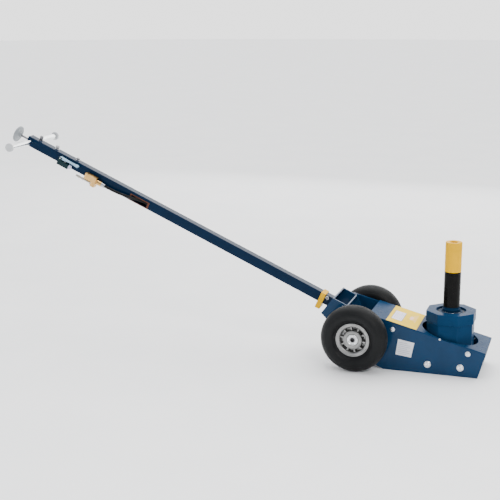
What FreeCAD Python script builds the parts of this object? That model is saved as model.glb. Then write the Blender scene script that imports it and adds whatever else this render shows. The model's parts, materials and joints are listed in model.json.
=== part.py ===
import FreeCAD, Part
import math
import os
import re

import Sketcher
from FreeCAD import Placement, Rotation, Vector

os.makedirs("parts", exist_ok=True)

# Air-hydraulic truck jack on two wheels. Millimetres.
# Row frame: origin on the floor near the lifting ram, whose axis is lift_back behind it, +X forward, +Z up, the
# jack's right side at -Y.
# Handle frame: origin on the axle, x along the handle away from the chassis, y to the jack's right, z up from the
# tube.

doc = FreeCAD.newDocument("truck_jack")
sheet = doc.addObject("Spreadsheet::Sheet", "Sizes")

SIZES = {
    # chassis
    "half_width": 106.5,
    "plate": 8.0,
    "front_foot": 117.0,
    "front_height": 101.0,
    "top_slope": 14.3,
    "rear_end": 412.0,
    "rear_corner_height": 118.0,
    "base_back": 245.0,
    "base_thick": 10.0,
    "cover_thick": 4.0,
    "cover_back": 306.0,
    "cover_gap_radius": 108.0,
    "cross_plate_front": 102.0,
    "cross_plate_thick": 6.0,
    "cross_plate_top": 72.0,
    "cross_bar_radius": 12.0,
    "cross_bar_height": 34.0,
    # wheels and axle
    "wheel_radius": 130.0,
    "axle_back": 350.0,
    "track": 157.5,
    "tyre_half": 42.5,
    "axle_radius": 10.0,
    "axle_half": 186.5,
    "bead_radius": 51.0,
    "flange_radius": 66.0,
    "hub_radius": 21.0,
    "bearing_radius": 17.0,
    "bearing_width": 12.0,
    "hub_reach": 30.5,
    "hub_length": 60.0,
    "bolt_circle": 43.5,
    "rim_bolt_radius": 3.0,
    "rim_bolt_head": 4.2,
    "running": 0.05,
    "clearance": 0.3,
    # lift cylinder
    "lift_back": 5.5,
    "housing_flat": 91.0,
    "housing_low_flat": 86.5,
    "housing_top": 231.5,
    "band_bottom": 190.0,
    "reservoir_radius": 72.0,
    "gland_radius": 57.0,
    "cylinder_bore": 50.0,
    "outer_ram_radius": 45.0,
    "outer_ram_bore": 39.0,
    "inner_ram_radius": 36.0,
    "ram_top": 229.0,
    "gland_foot": 200.0,
    "gland_top": 225.0,
    "wiper_foot": 218.0,
    "socket_radius": 16.0,
    "socket_depth": 34.0,
    "post_radius": 31.7,
    "foot_radius": 34.5,
    "lower_post_top": 383.0,
    "post_top": 499.0,
    # air motor and pump
    "motor_radius": 50.0,
    "motor_bore": 45.0,
    "motor_height": 66.0,
    "motor_front": 130.0,
    "motor_back": 250.0,
    "plunger_radius": 9.0,
    # handle
    "handle_slope": 24.1,
    "tube_side": 40.0,
    "tube_wall": 3.0,
    "tube_height": 33.0,
    "tube_start": 150.0,
    "tube_end": 1600.0,
    "yoke_half": 87.0,
    "yoke_plate": 8.0,
    "yoke_top": 77.5,
    "eye_radius": 24.0,
    "rod_radius": 4.0,
    "lock_pin_radius": 6.0,
    "collar_start": 185.0,
    "collar_end": 205.0,
    "crossbar_at": 1586.0,
    "crossbar_radius": 11.0,
    "crossbar_half": 202.0,
    "crossbar_end": 12.0,
    "crossbar_end_radius": 18.0,
    "knob_at": 1654.0,
    "knob_thick": 12.0,
    "knob_radius": 35.0,
    "lock_disc_radius": 50.0,
    "lock_disc_thick": 12.0,
    "lock_pin_start": 48.0,
    "lock_pin_end": 108.0,
    "clamp_bolt_at": 176.0,
    "clamp_bolt_height": 43.0,
    "spring_seat": 1500.0,
    # air valve and hose
    "valve_start": 1383.0,
    "valve_end": 1435.0,
    "valve_half": 13.0,
    "valve_foot": 12.0,
    "valve_top": 31.0,
    "inlet_height": 4.0,
    "inlet_radius": 5.5,
    "inlet_start": 1264.0,
    "inlet_neck_end": 1304.0,
    "inlet_end": 1340.0,
    "lever_start": 1342.0,
    "lever_pivot": 1428.0,
    "lever_low": 35.5,
    "lever_thick": 10.0,
    "lever_pin_radius": 2.5,
    "plunger_at": 1407.0,
    "hose_radius": 5.5,
    "hose_side": 10.5,
    "coupling_start": 1222.0,
    "coupling_foot": -5.0,
    "coupling_middle": 13.0,
    "coupling_top": 37.0,
    "coupling_end": 1300.0,
    "hose_start_height": 20.0,
}

for row, (alias, size) in enumerate(SIZES.items(), start=1):
    sheet.set("A%d" % row, alias)
    sheet.set("B%d" % row, str(size))
    sheet.setAlias("B%d" % row, alias)
doc.recompute()

nodes = []


def formula(text):
    """A formula over the sheet's aliases, as an expression."""
    return re.sub(r"[a-z_]{3,}", lambda word: "Sizes." + word.group() if word.group() in SIZES else word.group(),
                  str(text))


def number(text):
    """The formula's value in millimetres."""
    found = sheet.evalExpression(formula(text))
    return float(getattr(found, "Value", found))


def vector(point):
    return Vector(*[number(text) for text in point])


TURNS = {
    "Z": Rotation(),
    "X": Rotation(Vector(0, 1, 0), 90),
    "-X": Rotation(Vector(0, 1, 0), -90),
    "Y": Rotation(Vector(1, 0, 0), -90),
    "-Y": Rotation(Vector(1, 0, 0), 90),
}


def place(item, at, axis="Z"):
    """Puts an object at a bound position, its own z axis along the named axis."""
    item.Placement = Placement(Vector(), TURNS[axis])
    for letter, text in zip("xyz", at):
        item.setExpression("Placement.Base." + letter, formula(text))
    return item


def box(low, high):
    """A box between two bound corners."""
    item = doc.addObject("Part::Box", "Block")
    for side, start, end in zip(("Length", "Width", "Height"), low, high):
        item.setExpression(side, formula("(%s) - (%s)" % (end, start)))
    return place(item, low)


def rod(radius, length, at, axis="Z"):
    item = doc.addObject("Part::Cylinder", "Rod")
    item.setExpression("Radius", formula(radius))
    item.setExpression("Height", formula(length))
    return place(item, at, axis)


def group(items):
    item = doc.addObject("Part::Compound", "Group")
    item.Links = items
    return item


def fuse(*items):
    item = doc.addObject("Part::MultiFuse", "Fusion")
    item.Shapes = list(items)
    return item


def cut(base, *tools):
    item = doc.addObject("Part::Cut", "Cut")
    item.Base = base
    item.Tool = tools[0] if len(tools) == 1 else fuse(*tools)
    return item


def ring(outer, inner, length, at, axis="Z"):
    return cut(rod(outer, length, at, axis), rod(inner, length, at, axis))


def outline(body, points):
    """A closed sketch on the body's XZ plane, every corner bound to the sheet."""
    sketch = body.newObject("Sketcher::SketchObject", "Outline")
    plane = [item for item in body.Origin.OriginFeatures if item.Role == "XZ_Plane"][0]
    sketch.AttachmentSupport = [(plane, "")]
    sketch.MapMode = "FlatFace"
    spots = [vector((across, up, 0)) for across, up in points]
    for start, end in zip(spots, spots[1:] + spots[:1]):
        sketch.addGeometry(Part.LineSegment(start, end), False)
    for index in range(len(points)):
        sketch.addConstraint(Sketcher.Constraint("Coincident", index, 2, (index + 1) % len(points), 1))
    for index, (corner, spot) in enumerate(zip(points, spots)):
        for kind, text, size in zip(("DistanceX", "DistanceY"), corner, (spot.x, spot.y)):
            added = sketch.addConstraint(Sketcher.Constraint(kind, -1, 1, index, 1, size))
            sketch.renameConstraint(added, "%s_%d" % (kind, index))
            sketch.setExpression("Constraints.%s_%d" % (kind, index), formula(text))
    return sketch


def slab(points, width, middle="0"):
    """An outline in the XZ plane, padded to a width along Y about a middle plane."""
    body = doc.addObject("PartDesign::Body", "Slab")
    pad = body.newObject("PartDesign::Pad", "Pad")
    pad.Profile = outline(body, points)
    pad.Midplane = True
    pad.setExpression("Length", formula(width))
    return place(body, ("0", middle, "0"))


def turned(points, at=("0", "0", "0"), axis="Z"):
    """A profile of (radius, along) corners, turned about the named axis."""
    body = doc.addObject("PartDesign::Body", "Turned")
    turn = body.newObject("PartDesign::Revolution", "Turn")
    turn.Profile = outline(body, points)
    turn.ReferenceAxis = (turn.Profile[0], ["V_Axis"])
    turn.Angle = 360
    return place(body, at, axis)


def rounded(body, radius, wanted):
    """Rounds the edges of the body's last feature for which wanted(edge) is true."""
    doc.recompute()
    last = body.Tip
    names = ["Edge%d" % n for n, edge in enumerate(last.Shape.Edges, start=1) if wanted(edge)]
    fillet = body.newObject("PartDesign::Fillet", "Round")
    fillet.Base = (last, names)
    fillet.setExpression("Radius", formula(radius))
    return body


def spring(coil_radius, wire_radius, turns, length, at, axis):
    helix = doc.addObject("Part::Helix", "Helix")
    helix.setExpression("Radius", formula(coil_radius))
    helix.setExpression("Height", formula(length))
    helix.setExpression("Pitch", formula("(%s) / %s" % (length, turns)))
    section = doc.addObject("Part::Circle", "Wire")
    section.setExpression("Radius", formula(wire_radius))
    place(section, (coil_radius, "0", "0"), "-Y")
    coil = doc.addObject("Part::Sweep", "Coil")
    coil.Sections = [section]
    coil.Spine = (helix, [])
    coil.Solid = True
    coil.Frenet = True
    return place(coil, at, axis)


def handle_place():
    """The handle frame's place in the row frame."""
    slope = math.radians(number("handle_slope"))
    along = Vector(-math.cos(slope), 0, math.sin(slope))
    above = Vector(math.sin(slope), 0, math.cos(slope))
    return Placement(Vector(-number("axle_back"), 0, number("wheel_radius")),
                     Rotation(along, Vector(0, -1, 0), above, "ZXY"))


def node(name, item, frame=None):
    """Names a finished sub-part; one drawn in the handle frame is put in its place."""
    if frame is not None:
        item = group([item])
        item.Placement = frame
    item.Label = name
    nodes.append(item)
    return item


def hose_pipe(points, radius):
    """A round hose along straight runs joined by tangent arcs, each as large as its runs allow."""
    spots = [Vector(*point) for point in points]
    edges = []
    start = spots[0]
    for before, corner, after in zip(spots, spots[1:], spots[2:]):
        back = (before - corner).normalize()
        ahead = (after - corner).normalize()
        reach = 0.45 * min((before - corner).Length, (after - corner).Length)
        half_turn = (math.pi - back.getAngle(ahead)) / 2
        bend = reach / math.tan(half_turn)
        centre = corner + (back + ahead).normalize() * (bend / math.cos(half_turn))
        middle = centre + (corner - centre).normalize() * bend
        enter = corner + back * reach
        leave = corner + ahead * reach
        edges.append(Part.LineSegment(start, enter).toShape())
        edges.append(Part.Arc(enter, middle, leave).toShape())
        start = leave
        print("hose bend radius %.0f" % bend)
    edges.append(Part.LineSegment(start, spots[-1]).toShape())
    path = Part.Wire(edges)
    section = Part.Wire(Part.makeCircle(radius, spots[0], spots[1] - spots[0]))
    pipe = path.makePipeShell([section], True, False)
    print("hose length %.0f, volume over section times length %.4f"
          % (path.Length, pipe.Volume / (math.pi * radius ** 2 * path.Length)))
    return pipe


HANDLE = handle_place()
BACK = "-axle_back"
AXLE_HEIGHT = "wheel_radius"
LIFT = ("-lift_back", "0", "0")
INNER = "half_width - plate"
SIDES = (("right", "-Y", -1), ("left", "Y", 1))


def top_line(across):
    """Height of the covers' top surface at a distance along X."""
    return "front_height + (front_foot + front_height * tan(top_slope) - (%s)) * tan(top_slope)" % across


def bolt_places():
    """Side bolts: position along X, height, head radius and shank radius."""
    return ((-211.6, 162.9, 10.0, 6.0), (-73.4, 36.6, 14.0, 8.0), (50.7, 35.4, 14.0, 8.0), (77.1, 92.7, 10.5, 6.0))


# --- chassis ---


def side_plate(name, sign):
    corner = "front_foot + front_height * tan(top_slope)"
    points = [
        ("-base_back", "0"),
        ("front_foot", "0"),
        (corner, "front_height - cover_thick"),
        ("-rear_end", top_line("-rear_end") + " - cover_thick"),
        ("-rear_end", "rear_corner_height"),
        ("-base_back - 45", "22"),
    ]
    plate = slab(points, "plate", "%d * (half_width - plate / 2)" % sign)
    holes = [rod("axle_radius", "3 * plate", (BACK, "%d * half_width - 1.5 * plate" % sign, AXLE_HEIGHT), "Y")]
    for across, up, _, shank in bolt_places():
        holes.append(rod(shank, "3 * plate", (across, "%d * half_width - 1.5 * plate" % sign, up), "Y"))
    node(name, cut(plate, *holes))


def cover(name, start, end):
    """A sloping cover plate, cut back round the lift housing."""
    points = [
        (start, top_line(start) + " - cover_thick"),
        (end, top_line(end) + " - cover_thick"),
        (end, top_line(end)),
        (start, top_line(start)),
    ]
    plate = slab(points, "2 * half_width")
    node(name, cut(plate, rod("cover_gap_radius", "2 * housing_top", LIFT)))


def chassis_frame():
    for name, _, sign in SIDES:
        side_plate(name + "_side_plate", sign)
    cover("rear_cover", "-cover_back", "0")
    cover("front_cover", "0", "front_foot + front_height * tan(top_slope)")
    node("base_plate", box(("-base_back", "plate - half_width", "0"), ("front_foot", INNER, "base_thick")))
    node("front_cross_plate", box(("cross_plate_front - cross_plate_thick", "plate - half_width", "base_thick"),
                                  ("cross_plate_front", INNER, "cross_plate_top")))
    node("rear_cross_bar", rod("cross_bar_radius", "2 * (half_width - plate)",
                               ("-base_back - 40", "plate - half_width", "cross_bar_height"), "Y"))


def side_bolts():
    bolts = []
    for _, axis, sign in SIDES:
        for across, up, head, shank in bolt_places():
            profile = [("0", "-plate"), (shank, "-plate"), (shank, "0"), (head, "0"), (head, "0.28 * %s" % head),
                       ("0.6 * %s" % head, "0.5 * %s" % head), ("0", "0.5 * %s" % head)]
            bolts.append(turned(profile, (across, "%d * half_width" % sign, up), axis))
    node("side_bolts", group(bolts))


def axle_parts():
    node("axle", rod("axle_radius", "2 * axle_half", (BACK, "-axle_half", AXLE_HEIGHT), "Y"))
    spacers = []
    rings = []
    for _, axis, sign in SIDES:
        spacers.append(ring("16", "axle_radius", "half_width - plate - yoke_half - clearance",
                            (BACK, "%d * (yoke_half + clearance)" % sign, AXLE_HEIGHT), axis))
        spacers.append(ring("14", "axle_radius", "track - hub_reach - clearance - half_width",
                            (BACK, "%d * half_width" % sign, AXLE_HEIGHT), axis))
        rings.append(ring("14", "axle_radius", "2",
                          (BACK, "%d * (axle_half - 2.2)" % sign, AXLE_HEIGHT), axis))
    node("axle_spacers", group(spacers))
    node("retaining_rings", group(rings))


def lock_sector():
    """Disc on the axle whose tooth stands under the lock pin."""
    disc = rod("lock_disc_radius", "lock_disc_thick", ("0", "-lock_disc_thick / 2", "0"), "Y")
    tooth = box(("20", "-lock_disc_thick / 2", "4"),
                ("lock_disc_radius + 8", "lock_disc_thick / 2", "tube_height - lock_pin_radius - 0.5"))
    bore = rod("axle_radius", "20", ("0", "-10", "0"), "Y")
    node("lock_sector", cut(fuse(disc, tooth), bore), HANDLE)


# --- lift cylinder ---


def octagon(flat, low, high):
    """An eight-sided block about the ram's axis, with flats facing X and Y."""
    body = doc.addObject("PartDesign::Body", "Octagon")
    sketch = body.newObject("Sketcher::SketchObject", "Outline")
    plane = [item for item in body.Origin.OriginFeatures if item.Role == "XY_Plane"][0]
    sketch.AttachmentSupport = [(plane, "")]
    sketch.MapMode = "FlatFace"
    for turn in range(8):
        ends = []
        for angle in (22.5 + 45 * turn, 67.5 + 45 * turn):
            reach = number(flat) / math.cos(math.radians(22.5))
            ends.append(Vector(reach * math.cos(math.radians(angle)), reach * math.sin(math.radians(angle)), 0))
        sketch.addGeometry(Part.LineSegment(*ends), False)
    for turn in range(8):
        sketch.addConstraint(Sketcher.Constraint("Coincident", turn, 2, (turn + 1) % 8, 1))
        angle = 22.5 + 45 * turn
        for kind, wave in (("DistanceX", "cos"), ("DistanceY", "sin")):
            size = getattr(math, wave)(math.radians(angle)) * number(flat) / math.cos(math.radians(22.5))
            added = sketch.addConstraint(Sketcher.Constraint(kind, -1, 1, turn, 1, size))
            sketch.renameConstraint(added, "%s_%d" % (kind, turn))
            sketch.setExpression("Constraints.%s_%d" % (kind, turn),
                                 formula("%s * %s(%s) / cos(22.5)" % (flat, wave, angle)))
    pad = body.newObject("PartDesign::Pad", "Pad")
    pad.Profile = sketch
    pad.setExpression("Length", formula("(%s) - (%s)" % (high, low)))
    return place(body, ("-lift_back", "0", low))


def lift_cylinder():
    shell = fuse(octagon("housing_low_flat", "base_thick", "band_bottom"),
                 octagon("housing_flat", "band_bottom", "housing_top"))
    floor = ("-lift_back", "0", "base_thick")
    node("lift_housing", cut(shell, rod("reservoir_radius", "195 - base_thick", floor),
                             rod("gland_radius", "housing_top", floor)))
    node("pressure_cylinder", turned([
        ("0", "base_thick"), ("reservoir_radius", "base_thick"), ("reservoir_radius", "24"),
        ("gland_radius", "24"), ("gland_radius", "gland_foot"), ("cylinder_bore", "gland_foot"),
        ("cylinder_bore", "28"), ("0", "28")], LIFT))
    bore = "outer_ram_radius + running"
    seat = "outer_ram_radius + 5"
    node("gland_ring", turned([
        (bore, "gland_foot"), ("gland_radius", "gland_foot"), ("gland_radius", "gland_top"), (seat, "gland_top"),
        (seat, "wiper_foot"), (bore, "wiper_foot")], LIFT))
    node("wiper_seal", turned([
        (bore, "wiper_foot"), (seat, "wiper_foot"), (seat, "gland_top"), ("outer_ram_radius + 2", "gland_top + 0.8"),
        (bore, "gland_top + 0.8")], LIFT))
    node("outer_ram", turned([
        ("0", "29"), ("cylinder_bore - running", "29"), ("cylinder_bore - running", "43"),
        ("outer_ram_radius", "43"), ("outer_ram_radius", "ram_top - 3"),
        ("inner_ram_radius + running", "ram_top - 3"), ("inner_ram_radius + running", "ram_top - 24"),
        ("outer_ram_bore", "ram_top - 24"), ("outer_ram_bore", "39"), ("0", "39")], LIFT))
    node("inner_ram", turned([
        ("0", "40"), ("outer_ram_bore - running", "40"), ("outer_ram_bore - running", "54"),
        ("inner_ram_radius", "54"), ("inner_ram_radius", "ram_top"), ("socket_radius", "ram_top"),
        ("socket_radius", "ram_top - socket_depth"), ("0", "ram_top - socket_depth")], LIFT))
    post("lower_extension", "ram_top + clearance", "lower_post_top", "foot_radius")
    post("upper_extension", "lower_post_top + clearance", "post_top", "post_radius")


def post(name, low, high, foot):
    """An extension: a spigot below, a foot, a round post and a socket in its top."""
    node(name, turned([
        ("0", low + " - socket_depth + 2"), ("socket_radius - running", low + " - socket_depth + 2"),
        ("socket_radius - running", low), (foot, low), (foot, low + " + 8"),
        ("post_radius", low + " + 11"), ("post_radius", high), ("socket_radius", high),
        ("socket_radius", high + " - socket_depth"), ("0", high + " - socket_depth")], LIFT))


# --- air motor and pump ---


def pump():
    block = box(("-motor_front", "-32", "base_thick"), ("-lift_back - housing_low_flat", "32", "motor_height + 26"))
    bore = rod("plunger_radius + running", "motor_front", ("-motor_front", "0", "motor_height"), "X")
    node("pump_block", cut(block, bore))
    node("relief_valve", fuse(rod("6", "8", ("-111", "-40", "40"), "Y"), rod("9", "8", ("-111", "-48", "40"), "Y")))
    node("air_motor_cylinder", ring("motor_radius", "motor_bore", "motor_back - motor_front",
                                    ("-motor_back", "0", "motor_height"), "X"))
    port = fuse(rod("motor_radius", "12", ("-motor_back - 12", "0", "motor_height"), "X"),
                rod("9", "10", ("-motor_back - 22", "-30", "motor_height"), "X"))
    node("air_motor_cap", port)
    node("air_piston", rod("motor_bore - running", "12", ("-motor_back + 4", "0", "motor_height"), "X"))
    node("pump_plunger", rod("plunger_radius", "motor_back - motor_front - 14",
                             ("-motor_back + 16", "0", "motor_height"), "X"))
    node("piston_spring", spring("22", "2.5", 6, "motor_back - motor_front - 22",
                                 ("-motor_back + 19", "0", "motor_height"), "X"))


# --- wheels ---


def rim_profile(sign):
    """One pressed rim half: web, barrel and flange, as (radius, distance from the wheel's middle)."""
    if sign > 0:
        return [("hub_radius", "26.5"), ("33", "26.5"), ("37", "clearance"), ("bead_radius", "clearance"),
                ("bead_radius", "23"), ("54", "27.5"), ("flange_radius", "27.5"), ("flange_radius", "30.5"),
                ("52.5", "30.5"), ("bead_radius - 3", "24"), ("bead_radius - 3", "3.3"), ("39.5", "3.3"),
                ("35", "29.5"), ("hub_radius", "29.5")]
    return [("hub_radius", "0"), ("bead_radius", "0"), ("bead_radius", "-23"), ("54", "-27.5"),
            ("flange_radius", "-27.5"), ("flange_radius", "-30.5"), ("52.5", "-30.5"),
            ("bead_radius - 3", "-24"), ("bead_radius - 3", "-3"), ("hub_radius", "-3")]


def tyre(place_at, axis):
    """Hollow pneumatic tyre with rounded shoulders."""
    points = [("bead_radius", "-22"), ("bead_radius", "22"), ("56", "26.5"), ("67", "27.5"),
              ("78", "tyre_half - 4"), ("88", "tyre_half"), ("104", "tyre_half"), ("wheel_radius", "24"),
              ("wheel_radius", "-24"), ("104", "-tyre_half"), ("88", "-tyre_half"), ("78", "4 - tyre_half"),
              ("67", "-27.5"), ("56", "-26.5")]
    body = turned(points, place_at, axis)

    def shoulder(edge):
        curve = edge.Curve
        return curve.TypeId == "Part::GeomCircle" and edge.Closed and abs(curve.Radius - number("wheel_radius")) < 1

    rounded(body, "16", shoulder)
    air = turned([("bead_radius - 1", "-16"), ("bead_radius - 1", "16"), ("66", "20"), ("78", "tyre_half - 11"),
                  ("102", "tyre_half - 9"), ("wheel_radius - 12", "16"), ("wheel_radius - 12", "-16"),
                  ("102", "9 - tyre_half"), ("78", "11 - tyre_half"), ("66", "-20")], place_at, axis)
    return cut(body, air)


def wheel(name, axis, sign):
    def beside(distance):
        return "%d * (track + (%s))" % (sign, distance)

    middle = (BACK, beside("0"), AXLE_HEIGHT)
    bolts = []
    shanks = []
    for turn in range(5):
        angle = 90 + 72 * turn
        across = "-axle_back + bolt_circle * cos(%d)" % angle
        up = "wheel_radius + bolt_circle * sin(%d)" % angle
        bolts.append(fuse(rod("rim_bolt_radius", "6.3", (across, beside("-3"), up), axis),
                          rod("rim_bolt_head", "4", (across, beside("3.3"), up), axis),
                          rod("rim_bolt_head", "4", (across, beside("-7"), up), axis)))
        shanks.append(rod("rim_bolt_radius", "40", (across, beside("-20"), up), axis))
    node(name + "_tyre", tyre(middle, axis))
    node(name + "_rim_outer", cut(turned(rim_profile(1), middle, axis), *shanks))
    node(name + "_rim_inner", cut(turned(rim_profile(-1), middle, axis), *shanks))
    node(name + "_rim_bolts", group(bolts))
    node(name + "_hub", ring("hub_radius", "bearing_radius", "hub_length",
                             (BACK, beside("-hub_reach"), AXLE_HEIGHT), axis))
    node(name + "_bearings", group([
        ring("bearing_radius", "axle_radius + running", "bearing_width", (BACK, beside(start), AXLE_HEIGHT), axis)
        for start in ("-hub_reach", "14.5")]))


# --- handle ---


def yoke():
    side = [("85", "yoke_top"), ("148", "yoke_top"), ("164.4", "0"), ("137", "-11"), ("0", "-eye_radius"),
            ("-0.71 * eye_radius", "-0.71 * eye_radius"), ("-eye_radius", "0"),
            ("-0.71 * eye_radius", "0.71 * eye_radius"), ("0", "eye_radius"), ("40", "42")]
    for name, _, sign in SIDES:
        middle = "%d * (yoke_half - yoke_plate / 2)" % -sign
        bore = rod("axle_radius + running", "2 * yoke_half + 20", ("0", "-yoke_half - 10", "0"), "Y")
        node("yoke_%s_plate" % name, cut(slab(side, "yoke_plate", middle), bore), HANDLE)
    inner = "2 * (yoke_half - yoke_plate)"
    bent = slab([("142", "yoke_top"), ("148", "yoke_top"), ("164.4", "0"), ("137", "-11"), ("134.7", "-5.4"),
                 ("157", "4")], inner)
    slot = box(("tube_start - 20", "-tube_side / 2", "tube_height - tube_side / 2"),
               ("tube_start + 50", "tube_side / 2", "tube_height + tube_side / 2"))
    node("yoke_rear_plate", cut(bent, slot), HANDLE)
    node("yoke_front_plate", box(("82", "yoke_plate - yoke_half", "46"),
                                 ("88", "yoke_half - yoke_plate", "yoke_top")), HANDLE)


def handle_tube():
    half = "tube_side / 2"
    inside = "(tube_side / 2 - tube_wall)"
    shell = box(("tube_start", "-" + half, "tube_height - " + half), ("tube_end", half, "tube_height + " + half))
    hollow = box(("tube_start - 1", "-" + inside, "tube_height - " + inside),
                 ("tube_end + 1", inside, "tube_height + " + inside))
    crossing = rod("crossbar_radius", "2 * tube_side", ("crossbar_at", "-tube_side", "tube_height"), "Y")
    pin_slot = box(("collar_start + 4", "-" + half + " - 1", "tube_height - 3.5"),
                   ("collar_end + 14", "-" + inside + " + 1", "tube_height + 3.5"))
    hose_slot = box(("1012", inside + " - 1", "tube_height - 14"), ("1082", half + " + 1", "tube_height + 7"))
    bolt_hole = rod("4", "2 * tube_side", ("clamp_bolt_at", "-tube_side", "clamp_bolt_height"), "Y")
    node("handle_tube", cut(shell, hollow, crossing, pin_slot, hose_slot, bolt_hole), HANDLE)
    cap = box(("tube_end", "-" + half, "tube_height - " + half), ("tube_end + 4", half, "tube_height + " + half))
    passage = rod("rod_radius + running", "20", ("tube_end - 8", "0", "tube_height"), "X")
    node("tube_end_plate", cut(cap, passage), HANDLE)
    bar = rod("crossbar_radius", "2 * crossbar_half", ("crossbar_at", "-crossbar_half", "tube_height"), "Y")
    ends = [rod("crossbar_end_radius", "crossbar_end", ("crossbar_at", start, "tube_height"), "Y")
            for start in ("-crossbar_half", "crossbar_half - crossbar_end")]
    drilled = rod("rod_radius + running", "4 * crossbar_radius",
                  ("crossbar_at - 2 * crossbar_radius", "0", "tube_height"), "X")
    node("crossbar", cut(fuse(bar, *ends), drilled), HANDLE)
    node("clamp_bolt", fuse(rod("4", "tube_side", ("clamp_bolt_at", "-tube_side / 2", "clamp_bolt_height"), "Y"),
                            rod("7.5", "6", ("clamp_bolt_at", "tube_side / 2", "clamp_bolt_height"), "Y"),
                            rod("7.5", "6", ("clamp_bolt_at", "-tube_side / 2 - 6", "clamp_bolt_height"), "Y")),
         HANDLE)


def lock():
    """The pull knob, its rod with the lock pin, the collar pinned to the rod, and the return spring."""
    height = "tube_height"
    node("control_knob", fuse(rod("knob_radius", "knob_thick", ("knob_at", "0", height), "X"),
                              rod("9", "10", ("knob_at - 10", "0", height), "X")), HANDLE)
    pin_at = "(collar_start + collar_end) / 2"
    bar = fuse(rod("rod_radius", "knob_at - 10 - lock_pin_end", ("lock_pin_end", "0", height), "X"),
               rod("lock_pin_radius", "lock_pin_end - lock_pin_start", ("lock_pin_start", "0", height), "X"),
               rod("11", "4", ("spring_seat", "0", height), "X"))
    pin_hole = rod("2.5", "10", (pin_at, "-5", height), "Y")
    node("control_rod", cut(bar, pin_hole), HANDLE)
    plate = box(("collar_start", "-28", "-12"), ("collar_end", "28", "55"))
    window = box(("collar_start - 1", "-tube_side / 2 - clearance", "tube_height - tube_side / 2 - clearance"),
                 ("collar_end + 1", "tube_side / 2 + clearance", "tube_height + tube_side / 2 + clearance"))
    pin = rod("2.5", "31", (pin_at, "-28", height), "Y")
    node("lock_collar", fuse(cut(plate, window), pin), HANDLE)
    node("lock_spring", spring("8", "1", 10, "66", ("spring_seat + 5.5", "0", height), "X"), HANDLE)


def air_valve():
    near = "(tube_side / 2)"
    middle = "(tube_side / 2 + valve_half)"
    far = "(tube_side / 2 + 2 * valve_half)"
    block = box(("valve_start", near, "valve_foot"), ("valve_end", far, "valve_top"))
    ears = [box(("lever_pivot - 7", near, "valve_top"), ("valve_end", near + " + 4", "lever_low + lever_thick")),
            box(("lever_pivot - 7", far + " - 4", "valve_top"), ("valve_end", far, "lever_low + lever_thick"))]
    pivot_height = "lever_low + lever_thick / 2"
    pivot = rod("lever_pin_radius", "4 * valve_half", ("lever_pivot", near + " - 5", pivot_height), "Y")
    well = rod("4 + running", "13", ("plunger_at", middle, "valve_top - 13"))
    node("valve_body", cut(fuse(block, *ears), pivot, well), HANDLE)
    node("lever_pin", rod("lever_pin_radius", "2 * valve_half", ("lever_pivot", near, pivot_height), "Y"), HANDLE)
    arm = box(("lever_start", near + " + 4.5", "lever_low"),
              ("valve_end", far + " - 4.5", "lever_low + lever_thick"))
    eye = rod("lever_pin_radius + running", "4 * valve_half", ("lever_pivot", near + " - 5", pivot_height), "Y")
    node("valve_lever", cut(arm, eye), HANDLE)
    node("valve_plunger", rod("4", "12", ("plunger_at", middle, "lever_low - clearance - 12")), HANDLE)
    inlet_place = ("inlet_start", middle, "inlet_height")
    node("inlet_nipple", fuse(rod("8", "8", inlet_place, "X"),
                              rod("inlet_radius - 1", "inlet_neck_end - inlet_start", inlet_place, "X"),
                              rod("inlet_radius", "inlet_end - inlet_neck_end",
                                  ("inlet_neck_end", middle, "inlet_height"), "X")), HANDLE)
    manifold = box(("coupling_start + 24", near, "coupling_middle"), ("coupling_end", far, "coupling_top"))
    boss = box(("coupling_start + 24", near, "coupling_foot"), ("inlet_start", far, "coupling_middle"))
    spout = rod("10", "24", ("coupling_start", middle, "hose_start_height"), "X")
    node("hose_coupling", fuse(manifold, boss, spout), HANDLE)


def hoses():
    """The air hose outside and inside the tube, its grommet, and the flexible lower hose to the air motor."""
    side = number("tube_side / 2 + valve_half")
    deep = number("hose_side")
    height = number("tube_height")
    start = number("hose_start_height")
    outer = [(number("coupling_start"), side, start), (1186, side, start), (1150, 34.5, 21.5), (1116, 34, 25),
             (1080, 29, 29.5), (1046, 17.5, 32.5), (1012, deep, height), (960, deep, height - 0.4),
             (number("tube_start"), deep, height)]
    pipe = hose_pipe(outer, number("hose_radius"))
    hose = doc.addObject("Part::Feature", "Hose")
    hose.Shape = pipe
    node("air_hose", hose, HANDLE)
    plate = box(("1002", "tube_side / 2", "tube_height - 18.5"), ("1094", "tube_side / 2 + 3", "tube_height + 9.5"))
    window = box(("1010", "tube_side / 2 - 1", "tube_height - 15.2"),
                 ("1087", "tube_side / 2 + 4", "tube_height + 5.8"))
    node("hose_grommet", cut(plate, window), HANDLE)
    end = HANDLE.multVec(Vector(number("tube_start"), deep, height))
    turns = [HANDLE.multVec(Vector(*point)) for point in ((124, deep, height), (96, 24, 30))]
    port = Vector(-number("motor_back") - 22, -30, number("motor_height"))
    points = [end, *turns, Vector(-392, -41, 172), Vector(-350, -44, 168), Vector(-328, -43, 134),
              Vector(-326, -40, 87), Vector(port.x - 30, port.y, port.z), port]
    lower = doc.addObject("Part::Feature", "LowerHose")
    lower.Shape = hose_pipe([tuple(point) for point in points], number("hose_radius"))
    node("lower_hose", lower)


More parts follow.
